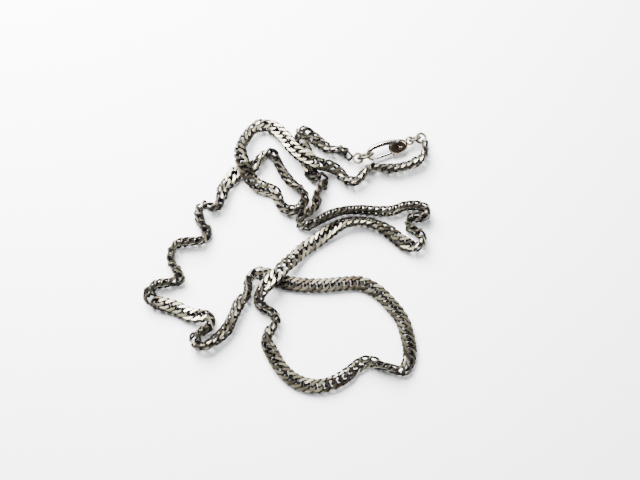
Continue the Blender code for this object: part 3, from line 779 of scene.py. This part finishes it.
def loft(shell, rows, power, sides=24, taper=END_TAPER):
    """Loft a rounded bar along rows of x, y, half thickness, half height in the clasp's plane."""
    rings = []
    last = len(rows) - 1
    for i, (x, y, thick, high) in enumerate(rows):
        a, b = rows[max(i - 1, 0)], rows[min(i + 1, last)]
        along = Vector((b[0] - a[0], b[1] - a[1], 0.0)).normalized()
        out = Vector((-along.y, along.x, 0.0))
        offset = min(i, last - i) * math.dist(rows[0][:2], rows[1][:2])
        scale = 1.0
        for reach, share in taper:
            if offset <= reach:
                scale = share
        ring = []
        for j in range(sides):
            angle = 2 * math.pi * j / sides
            c, s = math.cos(angle), math.sin(angle)
            across = math.copysign(abs(c) ** (2 / power), c) * thick * scale
            up = math.copysign(abs(s) ** (2 / power), s) * high * scale
            ring.append(shell.verts.new(Vector((x, y, 0.0)) + out * across + Vector((0, 0, up))))
        rings.append(ring)
    for a, b in zip(rings, rings[1:]):
        for j in range(sides):
            k = (j + 1) % sides
            shell.faces.new((a[j], a[k], b[k], b[j]))
    shell.faces.new(rings[0])
    shell.faces.new(rings[-1])


def revolve(shell, centre, profile, stretch=(1.0, 1.0), sides=48):
    """Turn a closed profile of (radius, height) rows about an upright axis in the clasp's frame."""
    rings = []
    for radius, height in profile:
        rings.append([shell.verts.new((centre[0] + radius * stretch[0] * math.cos(a),
                                       centre[1] + radius * stretch[1] * math.sin(a), height))
                      for a in (2 * math.pi * j / sides for j in range(sides))])
    for a, b in zip(rings, rings[1:]):
        for j in range(sides):
            k = (j + 1) % sides
            shell.faces.new((a[j], a[k], b[k], b[j]))
    shell.faces.new(rings[0])
    shell.faces.new(rings[-1])


def dome(radius, half_height, power=2.6, steps=9, panel=0.0):
    """Return the profile of a domed disc; the top and bottom may hold a sunk panel."""
    rows = []
    for k in range(steps + 1):
        angle = math.pi / 2 * k / steps
        rows.append((radius * math.cos(angle) ** (2 / power) if k < steps else POLE_RADIUS,
                     half_height * math.sin(angle) ** (2 / power)))
    top = []
    for r, z in rows:
        inside = max(0.0, min(1.0, (PANEL_SHARE * radius - r) / PANEL_EDGE))
        top.append((r, z - panel * inside))
    return [(r, -z) for r, z in reversed(top)] + top[1:]


def clasp_frame():
    """Return the clasp's frame in the row frame, in millimetres."""
    return (Matrix.Translation(Vector(CLASP_POSITION) + Vector(HEAP_SHIFT))
            @ Matrix.Rotation(math.radians(CLASP_HEADING), 4, "Z")
            @ Matrix.Rotation(math.radians(CLASP_ROLL), 4, "X"))


def block(shell, low, high):
    """Add a box between two corners."""
    middle = (Vector(low) + Vector(high)) / 2
    size = Vector(high) - Vector(low)
    bmesh.ops.create_cube(shell, size=1.0, matrix=Matrix.Translation(middle)
                          @ Matrix.Diagonal((*size, 1.0)))


def mesh_of(name, shell, frame_matrix, material):
    """Turn a bmesh made in millimetres in a frame into an object."""
    bmesh.ops.recalc_face_normals(shell, faces=shell.faces)
    bmesh.ops.transform(shell, matrix=Matrix.Scale(MM, 4) @ frame_matrix, verts=shell.verts)
    mesh = bpy.data.meshes.new(name)
    shell.to_mesh(mesh)
    shell.free()
    mesh.materials.append(material)
    obj = bpy.data.objects.new(name, mesh)
    bpy.context.scene.collection.objects.link(obj)
    return obj


def bake(obj):
    """Apply the modifiers."""
    depsgraph = bpy.context.evaluated_depsgraph_get()
    mesh = bpy.data.meshes.new_from_object(obj.evaluated_get(depsgraph))
    obj.modifiers.clear()
    obj.data = mesh
    return obj


def melt(obj, voxel, rounds):
    """Fuse overlapping parts into one cast skin and smooth it."""
    remesh = obj.modifiers.new("remesh", "REMESH")
    remesh.mode = "VOXEL"
    remesh.voxel_size = voxel * MM
    smoother = obj.modifiers.new("smooth", "SMOOTH")
    smoother.iterations = rounds
    smoother.factor = 0.5
    return bake(obj)


def carve(obj, tool):
    """Cut one object out of another and drop the tool."""
    modifier = obj.modifiers.new("carve", "BOOLEAN")
    modifier.operation = "DIFFERENCE"
    modifier.solver = "EXACT"
    modifier.object = tool
    bake(obj)
    bpy.data.objects.remove(tool, do_unlink=True)


def finish_piece(obj, body, node_name):
    """Shade a piece, hang it on its body and let it stand for its CAD node."""
    obj.data.shade_smooth()
    obj.data.set_sharp_from_angle(angle=SHARP_ANGLE)
    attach(obj, body)
    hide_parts(node_name)


def paint_clasp_brown(body, frame_matrix, polished, brown_reflection):
    """Paint the sunk panels of the bulb brown as a painted reflection, and the neck's broad faces the
    same brown.
    """
    body.data.materials.clear()
    body.data.materials.append(polished)
    body.data.materials.append(brown_reflection)
    inverse = frame_matrix.inverted()
    for face in body.data.polygons:
        p = inverse @ (face.center / MM)
        x = (p.x - BULB_CENTRE[0]) / BULB_RADII[0]
        y = (p.y - BULB_CENTRE[1]) / BULB_RADII[1]
        in_panel = math.hypot(x, y) < PANEL_SHARE and abs(p.z) > BULB_HALF_THICKNESS * PANEL_REACH
        along_neck = NECK_ROUTE[1][0] < p.x < EYE_CENTRE[0] - NECK_BROWN_END
        in_neck = along_neck and abs(p.z) > NECK_BROWN_HEIGHT
        face.material_index = 1 if in_panel or in_neck else 0


def make_clasp(polished, brown_reflection, steel):
    """Make the clasp: cast body, rivet, lever and leaf spring."""
    frame_matrix = clasp_frame()
    shell = bmesh.new()
    loft(shell, smooth_route(HOOK_ROUTE, CAST_STEP), 3.2)
    bulb = dome(1.0, BULB_HALF_THICKNESS, 2.9, 12, PANEL_DEPTH)
    revolve(shell, BULB_CENTRE, bulb, BULB_RADII)
    loft(shell, smooth_route(NECK_ROUTE, CAST_STEP), 3.5)
    revolve(shell, EYE_CENTRE, EYE_PROFILE, sides=40)
    body = melt(mesh_of("clasp_casting", shell, frame_matrix, polished), CAST_VOXEL, 5)
    shell = bmesh.new()
    block(shell, SLOT_LOW, SLOT_HIGH)
    carve(body, mesh_of("slot_tool", shell, frame_matrix, polished))
    shell = bmesh.new()
    revolve(shell, EYE_CENTRE, EYE_HOLE_PROFILE, sides=40)
    carve(body, mesh_of("eye_tool", shell, frame_matrix, polished))
    # painted brown reflection in the bulb's panels, and the same brown on the neck
    paint_clasp_brown(body, frame_matrix, polished, brown_reflection)
    finish_piece(body, "clasp", "clasp_body")

    shell = bmesh.new()
    revolve(shell, PIN_CENTRE, RIVET_PROFILE, sides=32)
    finish_piece(mesh_of("clasp_rivet", shell, frame_matrix, polished), "clasp", "clasp_pin")

    shell = bmesh.new()
    loft(shell, smooth_route(LEVER_ROUTE, LEVER_STEP), 2.6)
    loft(shell, smooth_route(THUMB_ROUTE, LEVER_STEP), 2.6)
    revolve(shell, PIN_CENTRE, dome(LEVER_HUB_RADIUS, LEVER_HUB_HALF_THICKNESS, 4.0), sides=36)
    lever = melt(mesh_of("clasp_lever_arm", shell, frame_matrix, polished), LEVER_VOXEL, 4)
    finish_piece(lever, "clasp_lever", "clasp_lever")

    shell = bmesh.new()
    rows = [(x, y, SPRING_HALF_THICKNESS, SPRING_HALF_HEIGHT) for x, y in SPRING_ROUTE]
    loft(shell, smooth_route(rows, SPRING_STEP), 4.0, sides=12, taper=SQUARE_END)
    finish_piece(mesh_of("leaf_spring", shell, frame_matrix, steel), "clasp", "clasp_spring")


def make_ring(name, radius, matrix, seam, body, material):
    """Make a bent wire ring with its butt joint; its wire is slightly flattened by wear."""
    shell = bmesh.new()
    rings = []
    for i in range(RING_STEPS + 1):
        t = seam + SEAM_HALF_GAP + (2 * math.pi - 2 * SEAM_HALF_GAP) * i / RING_STEPS
        wobble = 1.0 + 0.012 * math.sin(2 * t + seam) + 0.008 * math.sin(5 * t)
        out = Vector((math.cos(t), math.sin(t), 0.0))
        twist = SEAM_TWIST * math.sin(t - seam)
        pinch = SEAM_PINCH if i in (0, RING_STEPS) else 1.0
        row = []
        for j in range(RING_SIDES):
            a = 2 * math.pi * j / RING_SIDES
            flat = 1.0 - WIRE_FLATTENING * max(0.0, math.cos(a)) ** 3
            section = flat * math.cos(a) * out + Vector((0, 0, math.sin(a)))
            row.append(shell.verts.new(out * radius * RING_INSET * wobble
                                       + RING_WIRE * WIRE_INSET * pinch * section
                                       + Vector((0, 0, twist))))
        rings.append(row)
    for a, b in zip(rings, rings[1:]):
        for j in range(RING_SIDES):
            k = (j + 1) % RING_SIDES
            shell.faces.new((a[j], a[k], b[k], b[j]))
    shell.faces.new(rings[0])
    shell.faces.new(rings[-1])
    obj = mesh_of(f"{name}_wire", shell, matrix, material)
    finish_piece(obj, body, name)


def make_rings(material):
    """Make the four round wire rings and end links."""
    frame_matrix = clasp_frame()
    upright = Matrix.Rotation(math.pi / 2, 4, "X")
    shift = Vector(HEAP_SHIFT)
    make_ring("tail_ring", TAIL_RING_RADIUS, frame_matrix @ Matrix.Translation(TAIL_RING_CENTRE)
              @ upright, 1.9, "tail_ring", material)
    make_ring("catch_ring", CATCH_RING_RADIUS, frame_matrix @ Matrix.Translation(CATCH_RING_CENTRE)
              @ upright, 2.6, "catch_ring", material)
    make_ring("tail_link", END_LINK_RADIUS, Matrix.Translation(Vector(TAIL_LINK_CENTRE) + shift),
              0.6, "tail_link", material)
    make_ring("catch_link", END_LINK_RADIUS, Matrix.Translation(Vector(CATCH_LINK_CENTRE) + shift),
              4.4, "catch_link", material)


make_floor()
make_world()
add_area(*KEY_LIGHT)
add_area(*FILL_LIGHT)
make_camera()
make_chain(chain_silver())
polished_metal = polished_silver("polished_silver", *POLISHED_LOOK)
# painted brown reflection for the clasp's bulb
brown_reflection_metal = polished_silver("brown_reflection_silver", *BROWN_REFLECTION_LOOK)
worn_metal = polished_silver("worn_silver", *WORN_LOOK)
steel_metal = polished_silver("spring_steel", *STEEL_LOOK)
make_clasp(polished_metal, brown_reflection_metal, steel_metal)
make_rings(worn_metal)
